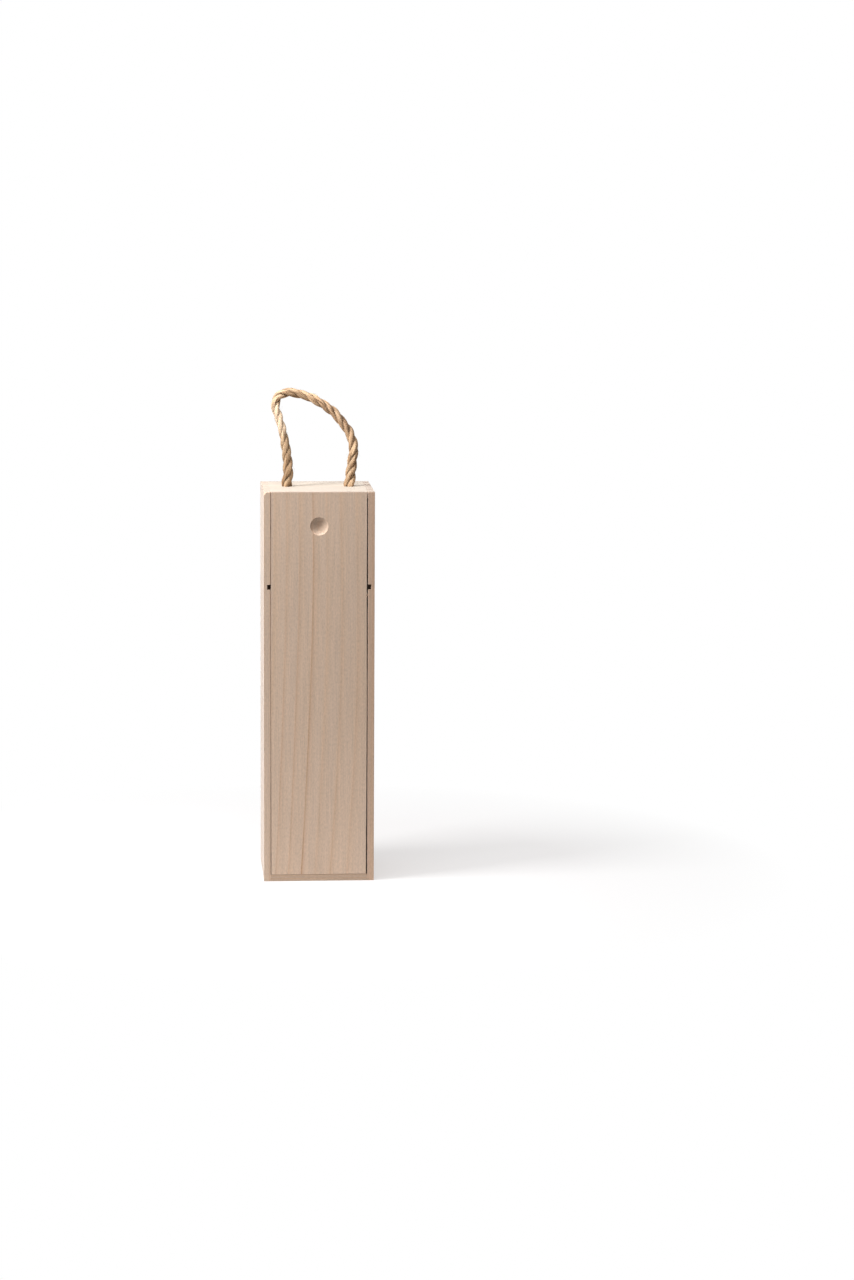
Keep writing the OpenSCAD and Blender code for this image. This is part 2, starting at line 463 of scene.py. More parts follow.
@dataclass(frozen=True)
class PlantFibre:
    """The raw, unbleached fibre of the rope, darker in some stretches, with painted shade and a
    painted highlight.

    The tints along it, and the paler stretch of painted highlight round its place, lie at shares of
    its length.
    """

    length: float
    light: Colour = (0.80, 0.575, 0.360)
    middle: Colour = (0.50, 0.300, 0.160)
    dark: Colour = (0.150, 0.083, 0.040)
    grain: tuple[tuple[str, Point, float], ...] = (
        ("Streaks", (750.0, 750.0, 60.0), 3.0),
        ("Hairs", (3200.0, 3200.0, 150.0), 2.0),
        ("Tone", (300.0, 300.0, 90.0), 2.0),
        ("Gaps", (40.0, 40.0, 130.0), 1.0),
    )
    grain_shares: Point = (0.62, 0.25, 0.13)
    paling: Ramp = (0.42, 0.62, 0.0, 1.0)
    darkening: Ramp = (0.33, 0.46, 1.0, 0.0)
    tone: Ramp = (0.3, 0.7, 0.80, 1.30)
    groove_shade: Ramp = (0.40, 0.60, 0.06, 0.62)
    groove_shade_reach: Span = (0.66, 0.89)
    # Tints at shares of the length; the stop at 0.31 is a painted highlight where the upper left
    # leg faces the lamps
    tints_and_highlight: tuple[tuple[float, Colour], ...] = (
        (0.0, (0.62, 0.60, 0.58)),
        (0.12, (0.58, 0.56, 0.54)),
        (0.20, (0.73, 0.74, 0.75)),
        (0.31, (1.28, 1.36, 1.50)),
        (0.45, (0.89, 0.88, 0.89)),
        (0.58, (0.95, 0.94, 0.96)),
        (0.72, (0.73, 0.71, 0.72)),
        (0.80, (0.69, 0.67, 0.66)),
        (1.0, (0.72, 0.71, 0.71)),
    )
    # A painted highlight: the paler colour of the stretch of the upper left leg that faces the
    # lamps
    highlight_colour: Colour = (0.80, 0.64, 0.48)
    highlight_at: float = 0.30
    bleached: Ramp = (0.03, 0.08, 0.50, 0.0)
    roughness: float = 0.72
    gloss: float = 0.35
    hair_relief: float = 0.5
    bump: float = 0.9
    bump_depth: float = 0.5 * MM

    def pattern(self) -> bpy.types.NodeTree:
        """Makes the pattern of coarse fibre, with the strand's own direction along Z.

        Returns:
            The node group.
        """
        bench = GroupBench("laid_fibre", {"Place": "Vector"})
        place = bench.given["Place"]
        return bench.put_out({name: bench.noise(place, *each) for name, *each in self.grain})

    def along_tint(self, bench: NodeBench, share: Socket) -> Socket:
        """Tints the rope along its length, with a painted highlight where the upper left leg faces
        the lamps.

        Args:
            bench: The bench on the material.
            share: The share of the rope's length passed.

        Returns:
            The tint.
        """
        ramp = bench.add("ValToRGB", {0: share})
        ramp.color_ramp.interpolation = "EASE"
        stops = ramp.color_ramp.elements
        for stop, (_, tint) in zip(stops, (self.tints_and_highlight[0], self.tints_and_highlight[-1])):
            stop.color = (*tint, 1.0)
        for place, tint in self.tints_and_highlight[1:-1]:
            stops.new(place).color = (*tint, 1.0)
        return ramp.outputs[0]

    def colour(
        self, bench: NodeBench, fibres: bpy.types.bpy_prop_collection, along: Socket
    ) -> Socket:
        """Colours the rope by its fibres, painted shade in its grooves, tints along it and a
        painted highlight.

        Args:
            bench: The bench on the rope's material.
            fibres: The fibre pattern's outputs.
            along: The distance along the rope.

        Returns:
            The colour.
        """
        in_streaks, in_hairs, in_tone = self.grain_shares
        fine = bench.plus(
            bench.times(fibres["Hairs"], in_hairs), bench.times(fibres["Tone"], in_tone)
        )
        streaks = bench.plus(bench.times(fibres["Streaks"], in_streaks), fine)
        colour = bench.mix(bench.between(streaks, *self.paling), self.middle, self.light)
        colour = bench.mix(bench.between(streaks, *self.darkening), colour, self.dark)
        # Painted shade: darkens the grooves between strands near the core, by an uneven depth
        crown = bench.add("Attribute", attribute_name=CROWN).outputs["Fac"]
        groove_shade = bench.between(fibres["Gaps"], *self.groove_shade)
        shade = bench.between(crown, *self.groove_shade_reach, groove_shade, 1.0)
        tone = bench.times(shade, bench.between(fibres["Tone"], *self.tone))
        colour = bench.tinted(colour, bench.grey(tone))
        # Tints along the length, including a painted highlight on the upper left leg
        share = bench.maths("DIVIDE", along, self.length)
        colour = bench.tinted(colour, self.along_tint(bench, share))
        # Pales the stretch of the upper left leg that faces the lamps, as a painted highlight
        away = bench.maths("ABSOLUTE", bench.maths("SUBTRACT", share, self.highlight_at))
        return bench.mix(bench.between(away, *self.bleached), colour, self.highlight_colour)

    def material(self, name: str) -> bpy.types.Material:
        """Makes the finish.

        Args:
            name: The material's name.

        Returns:
            The material.
        """
        material = bpy.data.materials.new(name)
        material.use_nodes = True
        bench = NodeBench(material.node_tree)
        place = bench.add("Attribute", attribute_name=STRAND_PLACE).outputs["Vector"]
        fibres = bench.add("Group", {"Place": place}, node_tree=self.pattern()).outputs
        along = bench.add("SeparateXYZ", {0: place}).outputs["Z"]
        shader = material.node_tree.nodes["Principled BSDF"]
        bench.feed_all(
            shader,
            {
                "Base Color": self.colour(bench, fibres, along),
                "Roughness": self.roughness,
                "Specular IOR Level": self.gloss,
            },
        )
        height = bench.plus(fibres["Streaks"], bench.times(fibres["Hairs"], self.hair_relief))
        bench.emboss(shader, height, self.bump, self.bump_depth)
        return material


def dressed_object(
    bm: bmesh.types.BMesh, name: str, material: bpy.types.Material
) -> bpy.types.Object:
    """Turns a finished shape into an object at the origin.

    Args:
        bm: The shape, which is freed.
        name: The object's name.
        material: Its finish.

    Returns:
        The object.
    """
    mesh = bpy.data.meshes.new(name)
    bm.to_mesh(mesh)
    bm.free()
    mesh.materials.append(material)
    piece = bpy.data.objects.new(name, mesh)
    bpy.context.scene.collection.objects.link(piece)
    return piece


@dataclass
class Blank:
    """A board in work: its shape, and its lowest and highest corners."""

    bm: bmesh.types.BMesh
    low: Vector
    high: Vector


@dataclass
class Board:
    """One board, with the CAD solid's form and its edges eased by sanding."""

    node: str
    cut: Cut
    body: str = "case"
    slot: str = "board_wood"
    eased: float = 0.20 * MM
    sharp_angle: float = math.radians(25)
    flat_angle: float = math.radians(0.5)
    merged: float = 0.002 * MM
    flat_cosine: float = 0.9999
    end_cosine: float = 0.75
    side_cosine: float = 0.9
    # Slot heights for painted shade, and the depth from the front for the gap walls' painted
    # bounced light
    slot_shade: Span = (0.0, 0.0)
    gap_bounce_depth: float = 0.0
    inside: float = 0.5 * MM
    case_reach: float = 49.0 * MM

    def shape(self, solid: bpy.types.Object) -> bmesh.types.BMesh:
        """Copies the solid and merges its loose triangles into whole faces.

        Args:
            solid: The CAD node's object.

        Returns:
            The shape.
        """
        bm = bmesh.new()
        bm.from_mesh(solid.data)
        bmesh.ops.remove_doubles(bm, verts=bm.verts, dist=self.merged)
        bmesh.ops.dissolve_limit(
            bm, angle_limit=self.flat_angle, verts=bm.verts, edges=bm.edges
        )
        return bm

    def sharp(self, edge: bmesh.types.BMEdge) -> bool:
        """Tells whether an edge is an outer corner that sandpaper reaches."""
        outer = edge.is_manifold and edge.is_convex
        return outer and edge.calc_face_angle(0.0) > self.sharp_angle

    def ease(self, bm: bmesh.types.BMesh) -> None:
        """Rounds the outer corners as light sanding does, and merges what that collapses.

        Args:
            bm: The board's shape.
        """
        bmesh.ops.bevel(
            bm,
            geom=[edge for edge in bm.edges if self.sharp(edge)],
            offset=self.eased,
            offset_type="OFFSET",
            segments=2,
            profile=0.5,
            affect="EDGES",
            clamp_overlap=True,
            material=-1,
        )
        bmesh.ops.remove_doubles(bm, verts=bm.verts, dist=self.merged)

    def work(self, blank: Blank) -> None:
        """Works the board, which here only has its corners eased."""
        self.ease(blank.bm)

    def mark_faces(self, blank: Blank) -> None:
        """Marks end grain, the slot for painted shade and the gap walls for painted bounced light,
        and shades flat faces flat.

        Args:
            blank: The worked board.
        """
        bm, low, high = blank.bm, blank.low, blank.high
        # The layers mark end grain, the slot's painted shade and the gap walls' painted bounced
        # light
        end_grain, slot_shade, sawn = (bm.faces.layers.float.new(n) for n in (END_GRAIN, SLOT_SHADE, GAP_BOUNCE))
        for face in bm.faces:
            face.smooth = max(abs(c) for c in face.normal) < self.flat_cosine
            face[end_grain] = float(abs(face.normal.dot(self.cut.grain.axis)) > self.end_cosine)
            spot = face.calc_center_median()
            deep = all(a + self.inside < c < b - self.inside for a, c, b in zip(low, spot, high))
            # Painted shade on the slot's deep faces, between its heights
            face[slot_shade] = float(deep and self.slot_shade[0] < spot.z < self.slot_shade[1])
            # Painted bounced light on side faces near the front, in the gaps beside the lid
            in_gap = abs(spot.x) < self.case_reach and spot.y < low.y + self.gap_bounce_depth
            face[sawn] = float(in_gap and abs(face.normal.x) > self.side_cosine)

    def build(
        self, frame: dict, finish: PaleWood, pattern: bpy.types.NodeTree
    ) -> bpy.types.Object:
        """Makes the board, which stands for its CAD node.

        Args:
            frame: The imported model.
            finish: The kind of wood.
            pattern: The shared wood pattern.

        Returns:
            The board's object.
        """
        blank = Blank(self.shape(frame["nodes"][self.node]), *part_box(self.node))
        self.work(blank)
        blank.bm.normal_update()
        self.mark_faces(blank)
        material = finish.material(f"{self.node}_wood", self.cut, pattern)
        piece = dressed_object(blank.bm, f"{self.node}_board", material)
        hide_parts(self.node)
        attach(piece, self.body)
        return piece


@dataclass
class LidBoard(Board):
    """The loose lid: a turned thumb dish in its face and slightly ragged sawn edges.

    Each bow lists heights and how far the edge stands out there, both in millimetres.
    """

    eased: float = 0.14 * MM
    dish_r: float = 8.25 * MM
    dish_depth: float = 3.6 * MM
    dish_drop: float = 30.8 * MM
    dish_arc: int = 12
    dish_turn: int = 96
    face_tolerance: float = 0.01 * MM
    saw_step: float = 2.0 * MM
    saw_reach: float = 1.2 * MM
    saw_wander: float = 0.11 * MM
    fine_marks: Unevenness = Unevenness(460.0, 7.0, 0.0)
    coarse_marks: Unevenness = Unevenness(120.0, 3.0, 5.0)
    coarse_share: float = 0.6
    farthest_out: float = -0.35
    left_bow: Table = (
        (7, -0.08), (50, 0.0), (85, 0.10), (115, 0.26),
        (205, 0.28), (295, 0.20), (325, 0.08), (350, 0.0),
    )
    right_bow: Table = (
        (7, -0.35), (33, -0.40), (70, -0.18), (115, -0.08), (160, 0.0),
        (205, -0.12), (250, -0.30), (295, -0.36), (325, -0.20), (350, -0.26),
    )

    def dish_at(self, blank: Blank) -> Vector:
        """The middle of the dish's rim."""
        low, high = blank.low, blank.high
        return Vector(((low.x + high.x) / 2, low.y, high.z - self.dish_drop))

    def turn_dish(self, blank: Blank) -> None:
        """Turns a smooth dish in place of the solid's faceted one, and refills the face round it.

        Args:
            blank: The lid in work.
        """
        bm, middle, tolerance = blank.bm, self.dish_at(blank), self.face_tolerance
        radius = (self.dish_r**2 + self.dish_depth**2) / (2 * self.dish_depth)
        centre = middle + Vector((0, self.dish_depth - radius, 0))

        def in_dish(part: bmesh.types.BMFace | bmesh.types.BMEdge) -> bool:
            """Tells whether a face or an edge lies within the dish."""
            return all((v.co - middle).length < self.dish_r + tolerance for v in part.verts)

        def on_front(face: bmesh.types.BMFace) -> bool:
            """Tells whether a face lies in the lid's front."""
            return all(abs(v.co.y - blank.low.y) < tolerance for v in face.verts)

        worn = [face for face in bm.faces if on_front(face) or in_dish(face)]
        bmesh.ops.delete(bm, geom=worn, context="FACES")
        outline = [edge for edge in bm.edges if edge.is_boundary]
        rim_angle = math.asin(self.dish_r / radius)
        turns = [rim_angle * i / self.dish_arc for i in range(self.dish_arc + 1)]
        arc = [
            bm.verts.new(centre + Vector((radius * math.sin(a), radius * math.cos(a), 0)))
            for a in turns
        ]
        line = [bm.edges.new(pair) for pair in zip(arc, arc[1:])]
        before = set(bm.faces)
        bmesh.ops.spin(
            bm,
            geom=arc + line,
            cent=centre,
            axis=(0, 1, 0),
            angle=math.tau,
            steps=self.dish_turn,
            use_merge=True,
        )
        bowl = list({v for face in bm.faces if face not in before for v in face.verts})
        bmesh.ops.remove_doubles(bm, verts=bowl, dist=tolerance)
        rim = [edge for edge in bm.edges if edge.is_boundary and in_dish(edge)]
        bmesh.ops.triangle_fill(bm, use_beauty=True, edges=outline + rim, normal=(0, -1, 0))
        bmesh.ops.recalc_face_normals(bm, faces=bm.faces)

    def slice_across(self, blank: Blank) -> None:
        """Cuts the flat faces into short lengths for the saw marks, and leaves the dish whole.

        Args:
            blank: The lid in work.
        """
        bm, middle = blank.bm, self.dish_at(blank)
        height = blank.low.z + self.saw_step
        while height < blank.high.z - self.eased:
            flat = [f for f in bm.faces if (f.calc_center_median() - middle).length > self.dish_r]
            edges = list({e for f in flat for e in f.edges})
            verts = list({v for f in flat for v in f.verts})
            geom = verts + edges + flat
            bmesh.ops.bisect_plane(bm, geom=geom, plane_co=(0, 0, height), plane_no=(0, 0, 1))
            height += self.saw_step

    def saw_marks(self, blank: Blank) -> None:
        """Lets the two long edges wander as a sawn edge does, and bow in and out along the lid.

        Args:
            blank: The lid in work, already sliced across.
        """
        edges = ((blank.low.x, 1.0, self.left_bow), (blank.high.x, -1.0, self.right_bow))
        for vert in blank.bm.verts:
            for edge_x, inward, bow in edges:
                near = 1.0 - abs(vert.co.x - edge_x) / self.saw_reach
                if near > 0:
                    rough = self.fine_marks.at(vert.co.z, inward)
                    rough += self.coarse_share * self.coarse_marks.at(vert.co.z, inward)
                    rough = self.saw_wander * max(rough, self.farthest_out)
                    outward = MM * float(np.interp(vert.co.z / MM, *zip(*bow)))
                    vert.co.x += inward * near * (rough - outward)

    def work(self, blank: Blank) -> None:
        """Turns the dish, eases the corners and leaves the saw's marks.

        Args:
            blank: The lid in work.
        """
        self.turn_dish(blank)
        self.slice_across(blank)
        self.ease(blank.bm)
        self.saw_marks(blank)


@dataclass
class Joinery:
    """The case's boards, the lid and its pegs, and how each was sawn."""

    finish: PaleWood = PaleWood()
    slot_heights: Span = (259.0 * MM, 273.5 * MM)
    lid_t: float = 6.8 * MM
    left: Cut = Cut(
        middle=(-0.30, 0.060, 0.9),
        first_year=17,
        tint=(0.97, 0.98, 0.99),
        end_tint=(0.93, 0.92, 0.91),
    )
    right: Cut = Cut(
        middle=(0.28, 0.095, 1.7),
        first_year=203,
        tint=(0.86, 0.80, 0.76),
        end_tint=(0.60, 0.54, 0.49),
    )
    top: Cut = Cut(
        Grain.ACROSS,
        middle=(0.10, 0.19, 2.6),
        # Painted highlight: the top is tinted paler and less saturated, the way its strongly lit
        # face washes out
        tint=(0.94, 1.05, 1.10),
        end_tint=(0.84, 0.81, 0.79),
        line_strength=0.4,
    )
    bottom: Cut = Cut(
        Grain.ACROSS,
        middle=(0.09, -0.075, 3.3),
        ring_width=3.2 * MM,
        tint=(0.78, 0.76, 0.74),
        end_tint=(0.70, 0.68, 0.67),
    )
    back: Cut = Cut(middle=(-0.06, 0.26, 4.1), ring_width=5.2 * MM)
    lid: Cut = Cut(
        middle=(0.1324, 0.2374, 0.356),
        ring_width=5.24 * MM,
        sweep=0.087,
        first_year=5701,
        line_strength=1.0,
        top_share=0.5,
    )
    peg: Cut = Cut(Grain.ACROSS, tint=(0.9, 0.84, 0.76))

    def boards(self) -> list[Board]:
        """Lists the boards.

        Returns:
            The boards, with their bodies and material slots.
        """
        # The sides' slots get painted shade; the gap walls of the sides and the lid get painted
        # bounced light
        side = {"slot_shade": self.slot_heights, "gap_bounce_depth": self.lid_t}
        return [
            Board("side_left", self.left, **side),
            Board("side_right", self.right, **side),
            Board("top_panel", self.top),
            Board("bottom_panel", self.bottom),
            Board("back_panel", self.back),
            LidBoard("lid", self.lid, "front_lid", "lid_wood", gap_bounce_depth=self.lid_t),
            Board("lid_peg_left", self.peg, "front_lid", "peg_wood"),
            Board("lid_peg_right", self.peg, "front_lid", "peg_wood"),
        ]

    def build(self, frame: dict) -> list[bpy.types.Object]:
        """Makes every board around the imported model, all in the wood of one tree."""
        pattern = TreeRings().group()
        return [board.build(frame, self.finish, pattern) for board in self.boards()]


def strides(line: np.ndarray) -> np.ndarray:
    """The distances between a line's neighbouring points."""
    return np.linalg.norm(np.diff(line, axis=0), axis=1)


def cross_frames(line: np.ndarray) -> tuple[np.ndarray, np.ndarray, np.ndarray]:
    """Carries a pair of cross directions along a line without twist.

    Args:
        line: The points that it follows.

    Returns:
        The direction and the two cross directions at each point.
    """
    way = np.gradient(line, axis=0)
    way /= np.linalg.norm(way, axis=1)[:, None]
    side = np.zeros_like(way)
    first = np.cross(way[0], (0.0, 1.0, 0.0))
    side[0] = first / np.linalg.norm(first)
    for i in range(1, len(line)):
        carried = side[i - 1] - way[i] * np.dot(side[i - 1], way[i])
        side[i] = carried / np.linalg.norm(carried)
    return way, side, np.cross(way, side)


def close_tube(bm: bmesh.types.BMesh, rings: list[list[bmesh.types.BMVert]]) -> None:
    """Joins rings of vertices into a tube and closes its two ends.

    Args:
        bm: The shape that it goes into.
        rings: The rings in order, all of one size.
    """
    for low, high in zip(rings, rings[1:]):
        for j in range(len(low)):
            k = (j + 1) % len(low)
            bm.faces.new((low[j], low[k], high[k], high[j]))
    bm.faces.new(rings[0][::-1])
    bm.faces.new(rings[-1])


def part_way(t: float, start: float, end: float, first: np.ndarray, last: np.ndarray) -> np.ndarray:
    """The point at t on the straight line that runs from first at start to last at end."""
    return (end - t) / (end - start) * first + (t - start) / (end - start) * last


def smooth_route(points: list[Point], step: float, per_span: int = 40) -> np.ndarray:
    """Runs one smooth curve through given points.

    Args:
        points: The points that it passes through.
        step: The spacing of the result.
        per_span: How many points are worked out between two that are given.

    Returns:
        Evenly spaced points along the curve.
    """
    p = np.array(points, float)
    p = np.vstack([2 * p[0] - p[1], p, 2 * p[-1] - p[-2]])
    knots = np.concatenate([[0], np.cumsum(np.sqrt(strides(p)))])
    curve = []
    for i in range(1, len(p) - 2):
        t0, t1, t2, t3 = knots[i - 1 : i + 3]
        for t in np.linspace(t1, t2, per_span, endpoint=False):
            a1 = part_way(t, t0, t1, p[i - 1], p[i])
            a2 = part_way(t, t1, t2, p[i], p[i + 1])
            a3 = part_way(t, t2, t3, p[i + 1], p[i + 2])
            b1 = part_way(t, t0, t2, a1, a2)
            b2 = part_way(t, t1, t3, a2, a3)
            curve.append(part_way(t, t1, t2, b1, b2))
    curve = np.array([*curve, p[-2]])
    along = np.concatenate([[0], np.cumsum(strides(curve))])
    at = np.linspace(0, along[-1], round(along[-1] / step) + 1)
    return np.stack([np.interp(at, along, curve[:, k]) for k in range(3)], axis=1)


@dataclass
class StrandLayer:
    """Lays strands round a line: their size, their twist and their lumps.

    A grain gives a pattern's features round a strand and in each metre along it.
    """

    rope_d: float
    sides: int = 30
    lay: float = 34.0 * MM
    strands: int = 3
    strand_share: float = 0.56
    offset_share: float = 0.46
    yarn_turn: float = -70.0 * MM
    uneven: float = 0.16
    loose: Unevenness = Unevenness(50.0, 11.0, 2.0)
    fat: Unevenness = Unevenness(38.0, 7.0, 4.0)
    lumps: float = 0.15
    lump_grain: Span = (0.9, 110.0)
    lump_row: float = 9.0
    ridges: float = 0.10
    ridge_grain: Span = (4.2, 60.0)
    ridge_row: float = 5.0
    pattern_row: float = 50.0 * MM

    def lay_on(
        self, bm: bmesh.types.BMesh, line: np.ndarray, swell: Callable[[float], float]
    ) -> None:
        """Lays the strands along a line.

        Args:
            bm: The shape that they go into.
            line: The rope's middle, evenly spaced.
            swell: The rope's width at a distance along it, as a share of its own.
        """
        _, side, up = cross_frames(line)
        along = np.arange(len(line)) * float(strides(line).mean())
        width = np.array([swell(s) for s in along])
        for k in range(self.strands):
            turn = math.tau * (along / self.lay + k / self.strands)
            out = np.cos(turn)[:, None] * side + np.sin(turn)[:, None] * up
            loose = np.array([1 + self.uneven * self.loose.at(s, k) for s in along])
            reach = self.rope_d / 2 * self.offset_share * width * loose
            self.strand(bm, line, line + out * reach[:, None], along, width, k)

    def bulge(self, cx: float, cy: float, along: float, number: int) -> float:
        """How far a strand's lumps and ridges stand out.

        Args:
            cx: The first part of the direction from the strand's middle.
            cy: The second part.
            along: The distance along the rope.
            number: Which strand it is.

        Returns:
            The bulge, as a share of the strand's radius.
        """
        round_it, down_it = self.lump_grain
        spot = (cx * round_it + number * self.lump_row, cy * round_it, along * down_it)
        lump = noise.noise(spot)
        round_it, down_it = self.ridge_grain
        spot = (cx * round_it, cy * round_it + number * self.ridge_row, along * down_it)
        return self.lumps * lump + self.ridges * noise.noise(spot)

    def strand(
        self,
        bm: bmesh.types.BMesh,
        core: np.ndarray,
        line: np.ndarray,
        along: np.ndarray,
        width: np.ndarray,
        number: int,
    ) -> None:
        """Sweeps one strand, with lumps and with ridges that follow its own twist.

        Args:
            bm: The shape that it goes into.
            core: The rope's middle.
            line: The strand's middle.
            along: The distance along the rope at each point.
            width: The rope's width there, as a share of its own.
            number: Which strand it is.
        """
        place = bm.verts.layers.float_vector.get(STRAND_PLACE)
        crown = bm.verts.layers.float.get(CROWN)
        _, side, up = cross_frames(line)
        base = self.rope_d / 2 * self.strand_share
        rings = []
        for i, middle in enumerate(line):
            fat = 1 + self.uneven * self.fat.at(along[i], number)
            ring = []
            for j in range(self.sides):
                angle = math.tau * j / self.sides
                own = angle - math.tau * along[i] / self.yarn_turn
                cx, cy = math.cos(own), math.sin(own)
                radius = base * width[i] * (fat + self.bulge(cx, cy, along[i], number))
                spot = middle + radius * (math.cos(angle) * side[i] + math.sin(angle) * up[i])
                vert = bm.verts.new(spot)
                vert[place] = (base * cx + number * self.pattern_row, base * cy, along[i])
                from_core = float(np.linalg.norm(spot - core[i]))
                vert[crown] = from_core / (self.rope_d / 2 * width[i])
                ring.append(vert)
            rings.append(ring)
        close_tube(bm, rings)


@dataclass
class StrayFibres:
    """The single fibres that have worked loose from the strands.

    Their root and their farthest reach are shares of the rope's diameter, from its middle.
    """

    count: int = 120
    seed: int = 11
    points: int = 6
    sides: int = 3
    length: Span = (4.0 * MM, 12.0 * MM)
    radius: float = 0.055 * MM
    thinned: float = 0.6
    root: float = 0.44
    farthest: float = 0.80
    lean: Span = (0.75, 1.0)
    lift: Span = (0.08, 0.32)
    arch: float = 2.2
    arch_share: float = 0.6
    curl: Span = (-0.5, 0.5)
    from_end: float = 12.0 * MM
    pattern_steps: Span = (10.0 * MM, 2.0 * MM)

    def add_to(self, bm: bmesh.types.BMesh, line: np.ndarray, rope_d: float, step: float) -> None:
        """Adds the fibres along a rope.

        Args:
            bm: The rope's shape.
            line: The rope's middle.
            rope_d: Its diameter.
            step: The spacing of the line's points.
        """
        place = bm.verts.layers.float_vector.get(STRAND_PLACE)
        crown = bm.verts.layers.float.get(CROWN)
        rng = np.random.default_rng(self.seed)
        way, side, up = cross_frames(line)
        clear = int(self.from_end / step)
        row, column = self.pattern_steps
        for number in range(self.count):
            i = int(rng.integers(clear, len(line) - clear))
            angle = rng.uniform(0, math.tau)
            out = math.cos(angle) * side[i] + math.sin(angle) * up[i]
            across = np.cross(way[i], out)
            length = rng.uniform(*self.length)
            lean = rng.uniform(*self.lean) * rng.choice((-1.0, 1.0))
            lift = rng.uniform(*self.lift)
            curl = rng.uniform(*self.curl)
            start = line[i] + out * rope_d * self.root
            rings = []
            for k in range(self.points):
                t = k / (self.points - 1)
                raised = out * lift * math.sin(self.arch * t) * self.arch_share
                spot = start + length * (way[i] * lean * t + raised + across * curl * t * t)
                gap = float(np.linalg.norm(spot - line, axis=1).min())
                spot = spot - out * max(0.0, gap - self.farthest * rope_d)
                radius = self.radius * (1 - self.thinned * t)
                ring = []
                for j in range(self.sides):
                    turn = math.tau * j / self.sides
                    outward = math.cos(turn) * out + math.sin(turn) * across
                    vert = bm.verts.new(spot + radius * outward)
                    vert[place] = (number * row, column * j, t * length)
                    vert[crown] = 1.0
                    ring.append(vert)
                rings.append(ring)
            close_tube(bm, rings)


